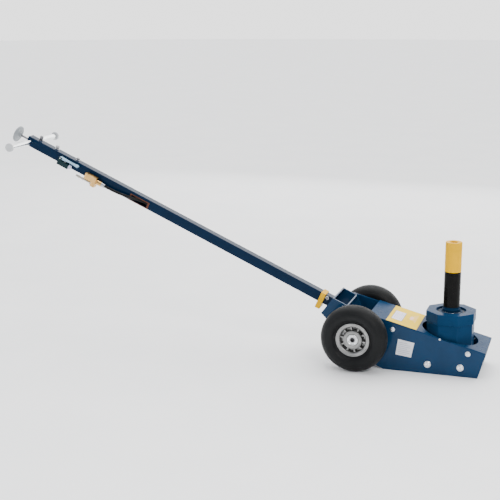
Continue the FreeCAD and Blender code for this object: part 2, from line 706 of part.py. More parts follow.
def check_and_write():
    """Stops on any failed object or bad shape, then writes each sub-part."""
    doc.recompute()
    for item in doc.Objects:
        if "Invalid" in item.State or "Error" in item.State:
            raise RuntimeError("%s failed: %s" % (item.Label, item.State))
    for item in nodes:
        shape = item.Shape
        if shape.isNull() or not shape.isValid() or not shape.Solids:
            raise RuntimeError("%s has no valid solid" % item.Label)
        if not all(solid.isClosed() for solid in shape.Solids):
            raise RuntimeError("%s isn't closed" % item.Label)
    for item in nodes:
        item.Shape.exportStep("parts/%s.step" % item.Label)
        print("%-22s %2d solids %10.0f mm3" % (item.Label, len(item.Shape.Solids), item.Shape.Volume))
    print("%d sub-parts" % len(nodes))


chassis_frame()
side_bolts()
axle_parts()
lock_sector()
lift_cylinder()
pump()
for wheel_name, wheel_axis, wheel_sign in SIDES:
    wheel(wheel_name, wheel_axis, wheel_sign)
yoke()
handle_tube()
lock()
air_valve()
hoses()
check_and_write()
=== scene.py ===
import json
import math

import bmesh
import bpy
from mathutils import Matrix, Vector


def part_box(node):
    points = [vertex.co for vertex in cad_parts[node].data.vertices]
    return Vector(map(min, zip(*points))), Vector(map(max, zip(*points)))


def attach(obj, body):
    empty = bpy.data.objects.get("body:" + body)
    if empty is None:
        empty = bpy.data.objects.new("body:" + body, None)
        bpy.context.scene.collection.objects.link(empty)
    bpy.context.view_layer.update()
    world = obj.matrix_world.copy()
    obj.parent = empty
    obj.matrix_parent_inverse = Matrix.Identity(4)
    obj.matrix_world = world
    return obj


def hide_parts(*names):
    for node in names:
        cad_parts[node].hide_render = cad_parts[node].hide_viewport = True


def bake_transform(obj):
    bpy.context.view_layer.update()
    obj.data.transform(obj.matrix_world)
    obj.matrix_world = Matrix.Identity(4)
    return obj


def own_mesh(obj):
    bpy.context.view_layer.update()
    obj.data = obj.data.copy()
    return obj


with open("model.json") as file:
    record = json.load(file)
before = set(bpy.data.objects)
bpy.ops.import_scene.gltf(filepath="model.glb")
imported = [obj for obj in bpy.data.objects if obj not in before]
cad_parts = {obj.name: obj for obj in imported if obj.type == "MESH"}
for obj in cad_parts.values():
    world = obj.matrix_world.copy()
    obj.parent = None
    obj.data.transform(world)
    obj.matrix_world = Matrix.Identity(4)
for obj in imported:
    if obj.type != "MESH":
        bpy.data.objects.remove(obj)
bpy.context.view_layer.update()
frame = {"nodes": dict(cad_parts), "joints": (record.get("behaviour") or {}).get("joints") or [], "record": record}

# Looks of a wheeled air-hydraulic truck jack. Metres, in the CAD's row frame: origin on the floor, 5.5 mm ahead of
# the ram's axis, +X forward, +Z up, the jack's right side at -Y. The handle frame starts on the axle and runs along
# the handle. Profiles and routes are written in millimetres.

MM = 0.001
joints = {joint["name"]: joint for joint in frame["joints"]}
AXLE = Vector(joints["handle_lift"]["pos_m"])
ALONG = Vector(joints["lock_pull"]["axis"]).normalized()
RIGHT = Vector((0, -1, 0))
ABOVE = ALONG.cross(RIGHT).normalized()
UP = Vector((0, 0, 1))
SIDES = (("right", -1), ("left", 1))


def on_handle(along, side=0.0, above=0.0):
    """A point given in millimetres along, to the right of and above the handle frame's axis."""
    return AXLE + (ALONG * along + RIGHT * side + ABOVE * above) * MM


# --- materials ---

NOISE_ROUGHNESS = 0.55


class Shader:
    """A small builder around one Principled material."""

    def __init__(self, name):
        self.material = bpy.data.materials.new(name)
        self.material.use_nodes = True
        self.tree = self.material.node_tree
        self.tree.nodes.clear()
        self.out = self.tree.nodes.new("ShaderNodeOutputMaterial")
        self.base = self.tree.nodes.new("ShaderNodeBsdfPrincipled")
        self.tree.links.new(self.base.outputs[0], self.out.inputs[0])
        self.place = self.tree.nodes.new("ShaderNodeTexCoord")

    def put(self, **values):
        """Sets values on the shader's own sockets."""
        for key, value in values.items():
            self.base.inputs[key.replace("_", " ")].default_value = value
        return self

    def noise(self, scale, detail):
        node = self.tree.nodes.new("ShaderNodeTexNoise")
        for key, number in (("Scale", scale), ("Detail", detail), ("Roughness", NOISE_ROUGHNESS)):
            node.inputs[key].default_value = number
        self.tree.links.new(self.place.outputs["Object"], node.inputs["Vector"])
        return node.outputs["Fac"]

    def ramp(self, value, stops):
        """Turns a value into a colour through (position, colour) stops."""
        node = self.tree.nodes.new("ShaderNodeValToRGB")
        self.tree.links.new(value, node.inputs[0])
        marks = node.color_ramp.elements
        while len(marks) < len(stops):
            marks.new(0.5)
        for mark, (spot, colour) in zip(marks, stops):
            mark.position = spot
            mark.color = (*colour, 1)
        return node.outputs[0]

    def grey(self, value, low_at, high_at, low, high):
        """Maps a value's range to another, clamped at both ends."""
        node = self.tree.nodes.new("ShaderNodeMapRange")
        for key, number in (("From Min", low_at), ("From Max", high_at), ("To Min", low), ("To Max", high)):
            node.inputs[key].default_value = number
        self.tree.links.new(value, node.inputs["Value"])
        return node.outputs[0]

    def colour(self, socket):
        self.tree.links.new(socket, self.base.inputs["Base Color"])

    def rough(self, socket):
        self.tree.links.new(socket, self.base.inputs["Roughness"])

    def bump(self, socket, strength, distance):
        node = self.tree.nodes.new("ShaderNodeBump")
        node.inputs["Strength"].default_value = strength
        node.inputs["Distance"].default_value = distance
        self.tree.links.new(socket, node.inputs["Height"])
        self.tree.links.new(node.outputs[0], self.base.inputs["Normal"])


def shade(colour, factor):
    """A colour made darker or lighter."""
    return tuple(min(1.0, part * factor) for part in colour)


def enamel(name, colour, rough=0.2, gloss=0.13, coat=0.03):
    """Sprayed gloss enamel: orange peel, faint blotches and slightly uneven gloss."""
    shader = Shader(name).put(Coat_Weight=coat, Coat_Roughness=0.06, Specular_IOR_Level=gloss)
    blotch = shader.noise(14, 5)
    shader.colour(shader.ramp(blotch, [(0.3, shade(colour, 0.86)), (0.55, colour), (0.8, shade(colour, 1.12))]))
    shader.rough(shader.grey(shader.noise(45, 6), 0.3, 0.75, rough * 0.8, rough * 1.35))
    shader.bump(shader.noise(420, 2), 0.05, 0.0004)
    return shader.material


def metal(name, colour, rough, grain=0.05, scale=160, spread=0.12):
    """Bare or plated metal with a fine grain and uneven gloss."""
    shader = Shader(name).put(Metallic=1.0)
    blotch = shader.noise(22, 6)
    shader.colour(shader.ramp(blotch, [(0.28, shade(colour, 1 - spread)), (0.72, shade(colour, 1 + spread))]))
    shader.rough(shader.grey(shader.noise(scale, 5), 0.25, 0.8, rough * 0.7, rough * 1.4))
    shader.bump(shader.noise(scale * 4, 3), grain, 0.0003)
    return shader.material


def rubber(name, colour, rough):
    """Dull rubber with paler, dusty patches."""
    shader = Shader(name).put(Specular_IOR_Level=0.16)
    blotch = shader.noise(10, 6)
    shader.colour(shader.ramp(blotch, [(0.3, shade(colour, 0.8)), (0.75, shade(colour, 1.35))]))
    shader.rough(shader.grey(shader.noise(60, 4), 0.3, 0.7, rough * 0.85, rough * 1.2))
    shader.bump(shader.noise(700, 3), 0.12, 0.0003)
    return shader.material


def plastic(name, colour, rough, grain=0.06, coat=0.0, gloss=0.5):
    """Moulded plastic or printed film, nearly even in colour."""
    shader = Shader(name).put(Coat_Weight=coat, Specular_IOR_Level=gloss)
    blotch = shader.noise(30, 4)
    shader.colour(shader.ramp(blotch, [(0.3, shade(colour, 0.93)), (0.7, shade(colour, 1.06))]))
    shader.rough(shader.grey(shader.noise(90, 4), 0.3, 0.7, rough * 0.85, rough * 1.2))
    shader.bump(shader.noise(900, 2), grain, 0.0002)
    return shader.material


BLUE = (0.0035, 0.031, 0.082)
DARK_BLUE = (0.0006, 0.012, 0.036)
MATT_BLUE = (0.003, 0.022, 0.055)
YELLOW = (0.74, 0.40, 0.0)

LOOKS = {
    "blue": enamel("blue_enamel", BLUE),
    "cover_blue": enamel("cover_enamel", BLUE, rough=0.3, gloss=0.03, coat=0.0),
    "handle_blue": enamel("handle_enamel", DARK_BLUE, rough=0.2, gloss=0.07, coat=0.0),
    "matt_blue": enamel("matt_enamel", MATT_BLUE, rough=0.5, gloss=0.04, coat=0.0),
    "yellow": enamel("yellow_enamel", YELLOW, rough=0.35, gloss=0.04, coat=0.0),
    "black": enamel("black_enamel", (0.002, 0.0018, 0.0015), rough=0.3, gloss=0.08),
    "teal": enamel("valve_enamel", (0.002, 0.018, 0.022), rough=0.35),
    "zinc": metal("bright_zinc", (0.78, 0.79, 0.80), 0.24, 0.04),
    "rim": metal("rim_zinc", (0.27, 0.27, 0.265), 0.42, 0.1, scale=90, spread=0.24),
    "bolt": metal("bolt_plating", (0.88, 0.90, 0.93), 0.34, 0.03),
    "dark_steel": metal("oiled_steel", (0.16, 0.16, 0.17), 0.3, 0.06),
    # Black oxide for the axle. Its dark colour is also painted shade: it stands in for the shaded hollow at the
    # hub's centre.
    "oxide_and_hub_shade": metal("black_oxide_and_hub_shade", (0.045, 0.045, 0.047), 0.4, 0.06),
    "grommet": rubber("grommet_rubber", (0.10, 0.035, 0.02), 0.5),
    "steel": metal("machined_steel", (0.42, 0.42, 0.43), 0.3, 0.06),
    "ground": metal("ground_steel", (0.55, 0.55, 0.56), 0.16, 0.03),
    "iron": metal("cast_iron", (0.11, 0.11, 0.115), 0.55, 0.3, scale=60),
    "aluminium": metal("aluminium", (0.36, 0.37, 0.38), 0.36, 0.06),
    "brass": metal("brass", (0.66, 0.40, 0.14), 0.3, 0.05, scale=120, spread=0.22),
    "nickel": metal("nickel_plug", (0.44, 0.42, 0.38), 0.3, 0.05),
    "chrome": metal("chrome", (0.88, 0.89, 0.90), 0.09, 0.02),
    "tyre": rubber("tyre_rubber", (0.0055, 0.006, 0.0065), 0.5),
    "rubber": rubber("black_rubber", (0.005, 0.005, 0.0055), 0.42),
    "lever": plastic("lever_plastic", (0.28, 0.46, 0.62), 0.3, coat=0.3),
    "cap": plastic("cap_plastic", (0.50, 0.51, 0.52), 0.4, 0.06),
    "knob": plastic("knob_plastic", (0.24, 0.26, 0.275), 0.42, 0.1),
    "lavender": plastic("fitting_plastic", (0.62, 0.58, 0.72), 0.4),
    "foil": plastic("label_foil", (0.74, 0.75, 0.80), 0.35, 0.02),
    "foil_line": plastic("label_line", (0.42, 0.44, 0.52), 0.4, 0.02),
    "sticker": plastic("yellow_sticker", (0.86, 0.58, 0.02), 0.5, 0.02, gloss=0.05),
    "panel": plastic("sticker_panel", (0.78, 0.74, 0.84), 0.5, 0.02, gloss=0.1),
    "mark": plastic("sticker_mark", (0.85, 0.50, 0.30), 0.45, 0.02),
    "navy": plastic("sticker_edge", (0.05, 0.06, 0.16), 0.4, 0.02),
}


# --- mesh helpers ---


def piece(name, mesh_data, look, body, *nodes, slot=None):
    """Links a finished mesh as a piece that rides on a body and may stand for CAD nodes."""
    item = bpy.data.objects.new(name, mesh_data)
    bpy.context.scene.collection.objects.link(item)
    mesh_data.materials.clear()
    mesh_data.materials.append(LOOKS[look])
    if body:
        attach(item, body)
    if nodes:
        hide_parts(*nodes)
    return item


def from_bmesh(name, shape, sharp=35):
    """A mesh with smooth shading except across edges sharper than an angle."""
    bmesh.ops.recalc_face_normals(shape, faces=shape.faces)
    for edge in shape.edges:
        edge.smooth = not (len(edge.link_faces) == 2 and edge.calc_face_angle(0) > math.radians(sharp))
    for face in shape.faces:
        face.smooth = True
    data = bpy.data.meshes.new(name)
    shape.to_mesh(data)
    shape.free()
    return data


def flat_faces(item):
    """Keeps the large faces flat beside their rounded edges."""
    modifier = item.modifiers.new("flat_faces", "WEIGHTED_NORMAL")
    modifier.keep_sharp = True
    modifier.weight = 80
    return item


def node_slot(node):
    return next(row["material_slot"] for row in frame["record"]["subparts"] if row["node"] == node)


def node_body(node):
    return next(name for name, members in frame["record"]["behaviour"]["bodies"].items() if node in members)


CORNER = math.radians(30)
ANY_LENGTH = 10


def finished(node, look, width=1.0, segments=2, long_width=None, long_from=0.15):
    """The CAD node's own shape with merged faces and rounded edges; long edges may be rounded more."""
    shape = bmesh.new()
    shape.from_mesh(frame["nodes"][node].data)
    bmesh.ops.remove_doubles(shape, verts=shape.verts, dist=1e-6)
    bmesh.ops.dissolve_limit(shape, angle_limit=math.radians(1.0), verts=shape.verts, edges=shape.edges)

    def corners(low, high):
        return [edge for edge in shape.edges if len(edge.link_faces) == 2
                and edge.calc_face_angle(0) > CORNER and low <= edge.calc_length() < high]

    if long_width:
        bmesh.ops.bevel(shape, geom=corners(long_from, ANY_LENGTH), offset=long_width * MM, segments=4,
                        profile=0.5, affect="EDGES", clamp_overlap=True)
    bmesh.ops.bevel(shape, geom=corners(0, long_from if long_width else ANY_LENGTH), offset=width * MM,
                    segments=segments, profile=0.5, affect="EDGES", clamp_overlap=True)
    item = piece("fine_" + node, from_bmesh(node, shape), look, node_body(node), node, slot=node_slot(node))
    return flat_faces(item)


def axes(direction):
    """Two directions square to one, for building round it."""
    lead = Vector(direction).normalized()
    steep = abs(lead.z) > 0.9 or abs(lead.y) > 0.9
    first = (lead.orthogonal() if steep else UP.cross(lead)).normalized()
    return lead, first, lead.cross(first)


def softened(profile, radius, steps=4):
    """A profile of (radius, along) corners with each corner rounded, ends kept."""
    points = [Vector(corner) for corner in profile]
    out = [points[0]]
    for before, corner, after in zip(points, points[1:], points[2:]):
        back, ahead = before - corner, after - corner
        reach = min(radius, 0.45 * back.length, 0.45 * ahead.length)
        start, end = corner + back.normalized() * reach, corner + ahead.normalized() * reach
        for step in range(steps + 1):
            t = step / steps
            out.append(start * (1 - t) ** 2 + corner * (2 * t * (1 - t)) + end * t ** 2)
    out.append(points[-1])
    return [tuple(point) for point in out]


def polar(profile, origin, direction, segments=96, shift=None):
    """Turns (radius, along) points round a direction. shift(radius, along, angle) may move each."""
    lead, first, second = axes(direction)
    shape = bmesh.new()
    rings = []
    for radius, along in profile:
        if radius < 1e-6 and shift is None:
            rings.append([shape.verts.new(origin + lead * along * MM)])
            continue
        ring = []
        for step in range(segments):
            angle = 2 * math.pi * step / segments
            r, a = shift(radius, along, angle) if shift else (radius, along)
            outward = first * math.cos(angle) + second * math.sin(angle)
            ring.append(shape.verts.new(origin + (lead * a + outward * r) * MM))
        rings.append(ring)
    for low, high in zip(rings, rings[1:]):
        count = max(len(low), len(high))
        for step in range(count):
            after = (step + 1) % count
            corners = [low[step % len(low)], low[after % len(low)],
                       high[after % len(high)], high[step % len(high)]]
            unique = list(dict.fromkeys(corners))
            if len(unique) > 2:
                shape.faces.new(unique)
    return shape


def lathe(name, profile, origin, direction, look, body, *nodes, soft=0.8, segments=96, shift=None, slot=None,
          steps=4):
    """A turned piece; soft is the rounding of its profile's corners."""
    shape = polar(softened(profile, soft, steps) if soft else profile, origin, direction, segments, shift)
    return piece(name, from_bmesh(name, shape), look, body, *nodes, slot=slot)


def sector_offset(angle, count):
    """The angle from the middle of the nearest of a number of equal sectors."""
    part = 2 * math.pi / count
    return (angle + part / 2) % part - part / 2


def hexagon(limit):
    """A shift that makes radii below a limit follow a hexagon's flats."""
    def shift(radius, along, angle):
        if 0.5 < radius < limit:
            return radius / math.cos(sector_offset(angle, 6)), along
        return radius, along
    return shift


def hexagon_between(low, high, flat):
    """A shift that cuts a hexagon's flats into one band of radii."""
    def shift(radius, along, angle):
        if low < radius < high:
            return min(radius, flat / math.cos(sector_offset(angle, 6))), along
        return radius, along
    return shift


def slab(name, outline, thickness, origin, across, up, look, body, *nodes, soft=1.0, slot=None):
    """A flat outline of (across, up) corners, given a thickness and rounded edges."""
    across, up = Vector(across).normalized(), Vector(up).normalized()
    normal = across.cross(up)
    shape = bmesh.new()
    rims = []
    for side in (-0.5, 0.5):
        rims.append([shape.verts.new(origin + (across * a + up * b + normal * thickness * side) * MM)
                     for a, b in outline])
    shape.faces.new(rims[0])
    shape.faces.new(rims[1])
    count = len(outline)
    for step in range(count):
        after = (step + 1) % count
        shape.faces.new([rims[0][step], rims[0][after], rims[1][after], rims[1][step]])
    bmesh.ops.recalc_face_normals(shape, faces=shape.faces)
    edges = [edge for edge in shape.edges if edge.calc_face_angle(0) > math.radians(25)]
    bmesh.ops.bevel(shape, geom=edges, offset=soft * MM, segments=3, profile=0.5, affect="EDGES",
                    clamp_overlap=True)
    return flat_faces(piece(name, from_bmesh(name, shape), look, body, *nodes, slot=slot))


def rounded_rectangle(width, height, corner, steps):
    points = []
    for sx, sy, start in ((1, 1, 0), (-1, 1, 90), (-1, -1, 180), (1, -1, 270)):
        for step in range(steps + 1):
            angle = math.radians(start + 90 * step / steps)
            points.append((sx * (width / 2 - corner) + corner * math.cos(angle),
                           sy * (height / 2 - corner) + corner * math.sin(angle)))
    return points


def spline_points(route, steps=10):
    """Points along the smooth curve that a NURBS spline of order 3 makes of a route."""
    curve = bpy.data.curves.new("route", "CURVE")
    curve.dimensions = "3D"
    curve.resolution_u = steps
    spline = curve.splines.new("NURBS")
    spline.points.add(len(route) - 1)
    for spot, point in zip(spline.points, route):
        spot.co = (*point, 1)
    spline.order_u = 3
    spline.use_endpoint_u = True
    holder = bpy.data.objects.new("route", curve)
    found = bpy.data.meshes.new_from_object(holder)
    points = [vertex.co.copy() for vertex in found.vertices]
    bpy.data.objects.remove(holder)
    bpy.data.meshes.remove(found)
    bpy.data.curves.remove(curve)
    return points


def sweep(points, radius_at, segments):
    """A round tube through points, closed at both ends. radius_at(share of the length, angle) is its radius."""
    shape = bmesh.new()
    lengths = [0.0]
    for start, end in zip(points, points[1:]):
        lengths.append(lengths[-1] + (end - start).length)
    normal = None
    rings = []
    for index, point in enumerate(points):
        lead = (points[min(index + 1, len(points) - 1)] - points[max(index - 1, 0)]).normalized()
        if normal is None:
            normal = axes(lead)[1]
        normal = (normal - lead * normal.dot(lead)).normalized()
        other = lead.cross(normal)
        share = lengths[index] / lengths[-1]
        ring = []
        for step in range(segments):
            angle = 2 * math.pi * step / segments
            reach = radius_at(share, angle) * MM
            ring.append(shape.verts.new(point + (normal * math.cos(angle) + other * math.sin(angle)) * reach))
        rings.append(ring)
    for low, high in zip(rings, rings[1:]):
        for step in range(segments):
            after = (step + 1) % segments
            shape.faces.new([low[step], low[after], high[after], high[step]])
    shape.faces.new(rings[0])
    shape.faces.new(rings[-1])
    return shape


def weld_bead(name, start, end, radius, look, body):
    """A fillet weld: a rippled bead between two points."""
    length = (end - start).length / MM
    steps = max(8, int(length / 0.8))
    points = [start.lerp(end, step / steps) for step in range(steps + 1)]

    def ripple(share, _angle):
        fade = min(1.0, share * length / 2.5 + 0.3, (1 - share) * length / 2.5 + 0.3)
        return radius * fade * (0.86 + 0.14 * abs(math.sin(share * length * math.pi / 3.6)))

    return piece(name, from_bmesh(name, sweep(points, ripple, 10), 60), look, body)


STEPS_PER_TURN = 28


def helix(origin, direction, radius, length, turns, wire, name, look, body, *nodes, slot=None):
    """A coil spring with closed ends. wire is the wire's radius."""
    lead, first, second = axes(direction)
    points = []
    count = turns * STEPS_PER_TURN
    closed = 1.2 / turns
    for step in range(count + 1):
        share = step / count
        angle = 2 * math.pi * turns * share
        squeezed = min(max((share - closed * 0.6) / (1 - 1.2 * closed), 0.0), 1.0)
        along = wire + (length - 2 * wire) * squeezed
        outward = first * math.cos(angle) + second * math.sin(angle)
        points.append(origin + (lead * along + outward * radius) * MM)
    data = from_bmesh(name, sweep(points, lambda share, angle: wire, 10))
    return piece(name, data, look, body, *nodes, slot=slot)


def row(across, side, up):
    """A point of the row frame given in millimetres."""
    return Vector((across, side, up)) * MM


# --- camera, light and floor ---

camera = bpy.data.objects.new("Camera", bpy.data.cameras.new("Camera"))
camera.data.lens = 80.6
camera.data.sensor_width = 36
camera.location = (0.5497, -4.1845, 1.4301)
camera.rotation_euler = (Vector((-0.8215, 0, 0.4079)) - camera.location).to_track_quat("-Z", "Y").to_euler()
bpy.context.scene.collection.objects.link(camera)
bpy.context.scene.camera = camera


def soft_light(name, spot, aim, size, power, colour=(1, 1, 1)):
    lamp = bpy.data.lights.new(name, "AREA")
    lamp.shape = "RECTANGLE"
    lamp.size, lamp.size_y = size
    lamp.energy = power
    lamp.color = colour
    item = bpy.data.objects.new(name, lamp)
    item.location = spot
    item.rotation_euler = (Vector(aim) - Vector(spot)).to_track_quat("-Z", "Y").to_euler()
    bpy.context.scene.collection.objects.link(item)


soft_light("key", (2.0, -3.0, 3.0), (-0.3, 0, 0.3), (1.6, 1.6), 110, (1, 0.985, 0.96))
soft_light("fill", (-3.6, -2.6, 2.2), (-0.8, 0, 0.4), (2.0, 2.0), 40, (0.95, 0.975, 1))
soft_light("back", (-0.5, 3.8, 1.6), (-0.5, 0, 0.4), (5.0, 2.4), 60)


def even_light():
    """A wide soft sun from above and behind, which lights the whole floor alike."""
    lamp = bpy.data.lights.new("even", "SUN")
    lamp.energy = 3.2
    lamp.angle = math.radians(70)
    item = bpy.data.objects.new("even", lamp)
    item.rotation_euler = (math.radians(-18), 0, 0)
    bpy.context.scene.collection.objects.link(item)


even_light()


def studio_world():
    """Bright above and behind the object, dimmer on the camera's side."""
    world = bpy.data.worlds.new("studio")
    world.use_nodes = True
    tree = world.node_tree
    place = tree.nodes.new("ShaderNodeTexCoord")
    split = tree.nodes.new("ShaderNodeSeparateXYZ")
    ramp = tree.nodes.new("ShaderNodeValToRGB")
    tree.links.new(place.outputs["Generated"], split.inputs[0])
    tree.links.new(split.outputs["Y"], ramp.inputs[0])
    ramp.color_ramp.elements[0].position = 0.0
    ramp.color_ramp.elements[0].color = (0.2, 0.21, 0.23, 1)
    ramp.color_ramp.elements[1].position = 0.4
    ramp.color_ramp.elements[1].color = (1, 1, 1, 1)
    tree.links.new(ramp.outputs[0], tree.nodes["Background"].inputs[0])
    tree.nodes["Background"].inputs[1].default_value = 2.3
    bpy.context.scene.world = world


studio_world()


FLOOR_GAP = 0.0002


def studio_floor():
    """A pale paper floor, a hair below the wheels so that no two surfaces coincide."""
    shape = bmesh.new()
    bmesh.ops.create_circle(shape, cap_ends=True, radius=30, segments=96)
    data = bpy.data.meshes.new("floor")
    shape.to_mesh(data)
    shape.free()
    item = bpy.data.objects.new("floor", data)
    paper = Shader("floor_paper").put(Specular_IOR_Level=0.2)
    paper.colour(paper.ramp(paper.noise(3, 3), [(0.35, (0.90, 0.905, 0.91)), (0.7, (0.93, 0.93, 0.93))]))
    paper.put(Roughness=0.75)
    data.materials.append(paper.material)
    bpy.context.scene.collection.objects.link(item)
    item.location.z = -FLOOR_GAP


studio_floor()

# --- chassis ---

HALF = 106.5  # half the width over the side plates
SLOPE = math.radians(14.3)  # of the covers
COVER_ALONG = Vector((-math.cos(SLOPE), 0, math.sin(SLOPE)))
COVER_UP = Vector((math.sin(SLOPE), 0, math.cos(SLOPE)))
FRONT_EDGE = 117 + 101 * math.tan(SLOPE)


def cover_point(across, side=0.0, lift=0.0):
    """A point over the covers' top surface, lifted square to it."""
    height = 101 + (FRONT_EDGE - across) * math.tan(SLOPE)
    return row(across, side, height) + COVER_UP * lift * MM


def frame_plates():
    for side, _sign in SIDES:
        finished(side + "_side_plate", "blue", 1.4, 3)
    finished("rear_cover", "cover_blue", 1.2, 3)
    finished("front_cover", "cover_blue", 1.2, 3)
    finished("base_plate", "blue", 1.0)
    finished("front_cross_plate", "blue", 0.8)
    lathe("cross_bar", [(0, -98.4), (12, -98.4), (12, 98.4), (0, 98.4)], row(-285, 0, 34), (0, 1, 0), "blue",
          "chassis", "rear_cross_bar", soft=1.5, slot="blue_paint")
    for side, sign in SIDES:
        edge = sign * (HALF - 8)
        weld_bead("weld_base_" + side, row(-238, edge, 10.6), row(95, edge, 10.6), 3.2, "blue", "chassis")
        weld_bead("weld_cross_" + side, row(102.6, edge, 14), row(102.6, edge, 70), 3.0, "blue", "chassis")
        weld_bead("weld_bar_" + side, row(-285, edge - sign * 0.5, 47), row(-274, edge - sign * 0.5, 42), 2.5,
                  "blue", "chassis")
        weld_bead("weld_cover_" + side, cover_point(-300, edge, -5), cover_point(-95, edge, -5), 2.6, "blue",
                  "chassis")
    weld_bead("weld_cross_low", row(103, -96, 10.8), row(103, 96, 10.8), 3.0, "blue", "chassis")


def button_bolt(name, across, up, sign, head):
    """A domed socket bolt head on its washer."""
    high = 0.5 * head
    profile = [(0, -2), (head * 0.98, -2), (head * 0.98, 0.10 * head), (head * 0.90, 0.14 * head),
               (head * 0.86, 0.30 * head), (head * 0.66, 0.44 * head), (head * 0.42, high), (head * 0.30, high),
               (head * 0.26, high - 0.1 * head), (head * 0.24, 0.22 * head), (0, 0.16 * head)]

    def socket(radius, along, angle):
        if radius < 0.31 * head and along > 0:
            return radius / math.cos(sector_offset(angle, 6)), along
        return radius, along

    lathe(name, profile, row(across, sign * HALF, up), (0, sign, 0), "bolt", "chassis", "side_bolts", soft=0.9,
          segments=60, shift=socket, slot="bright_zinc")


def screw(name, spot, direction, head, body, look="bolt"):
    """A small cross-slotted pan head."""
    profile = [(0, -1.5), (head, -1.5), (head, 0.5), (head * 0.85, head * 0.45), (head * 0.4, head * 0.58),
               (0.01, head * 0.6)]

    def slot_cut(radius, along, angle):
        if radius < head * 0.6 and along > 0 and abs((angle + 0.2) % (math.pi / 2) - math.pi / 4) > 0.58:
            return radius, along - head * 0.25
        return radius, along

    shape = polar(softened(profile, 0.5), spot, direction, 48, slot_cut)
    piece(name, from_bmesh(name, shape), look, body, slot="bright_zinc")


SIDE_BOLTS = ((-211.6, 162.9, 10.0), (-73.4, 36.6, 14.0), (50.7, 35.4, 14.0), (77.1, 92.7, 10.5))
DATA_PLATE = ((-197.5, 64.6), (-137, 57.6), (-126, 116.5), (-189, 127))


def side_hardware():
    """The bolts of both side plates, and the data plate with its blank lines and rivets on the right one."""
    for side, sign in SIDES:
        for index, (across, up, head) in enumerate(SIDE_BOLTS):
            button_bolt("bolt_%s_%d" % (side, index), across, up, sign, head)
        screw("screw_" + side, row(-30, sign * HALF, 140), (0, sign, 0), 4.2, "chassis")
    plate = [Vector(corner) for corner in DATA_PLATE]
    middle = sum(plate, Vector((0, 0))) / 4
    spot = row(middle.x, -HALF - 0.45, middle.y)
    slab("data_plate", [tuple(corner - middle) for corner in plate], 0.9, spot, (1, 0, 0), UP, "foil",
         "chassis", soft=0.3)
    across = (plate[1] - plate[0]).normalized()
    rise = Vector((-across.y, across.x))
    base = plate[0] + across * 31 + rise * 4
    for line in range(7):
        wide = 46 if line % 3 else 34
        centre = base + rise * (3 + line * 7.4) + across * (-23 + wide / 2 - line * 0.3)
        slab("data_line_%d" % line, rounded_rectangle(wide, 1.8, 0.6, 2), 0.3,
             row(centre.x, -HALF - 1.0, centre.y), (across.x, 0, across.y), (rise.x, 0, rise.y), "foil_line",
             "chassis", soft=0.05)
    for index, corner in enumerate(plate):
        inward = middle + (corner - middle) * 0.90
        screw("rivet_%d" % index, row(inward.x, -HALF - 0.9, inward.y), (0, -1, 0), 1.6, "chassis", "zinc")


def sticker():
    """The pale yellow label across the rear cover, with a blank panel and faint marks."""
    start, end = -240.0, -120.0
    length = (end - start) / math.cos(SLOPE)
    centre = (start + end) / 2

    def patch(name, along, side, wide, deep, lift, look, thick=0.25, corner=1.5):
        spot = cover_point(centre - along * math.cos(SLOPE), side, lift)
        slab(name, rounded_rectangle(deep, wide, corner, 3), thick, spot, COVER_ALONG, (0, 1, 0), look, "chassis",
             soft=0.08)

    patch("label", 0, 0, 2 * HALF - 5, length - 2, 0.2, "sticker", 0.35)
    patch("label_panel_edge", 27, -8, 112, 44, 0.48, "navy")
    patch("label_panel", 27, -8, 108, 40, 0.72, "panel")
    for index in range(5):
        patch("label_row_%d" % index, 39 - index * 6.5, -8 + 3 * (index % 2), 88 - 14 * (index % 3), 1.8, 0.95,
              "foil_line", 0.15, 0.5)
    patch("label_mark", -22, 12, 44, 14, 0.5, "mark", 0.2, 5)
    for index in range(4):
        patch("label_stroke_%d" % index, -40 + index * 4.2, 20, 96 - 12 * index, 1.4, 0.5, "mark", 0.15, 0.5)


# --- lift cylinder ---

LIFT = row(-5.5, 0, 0)  # the foot of the ram's axis


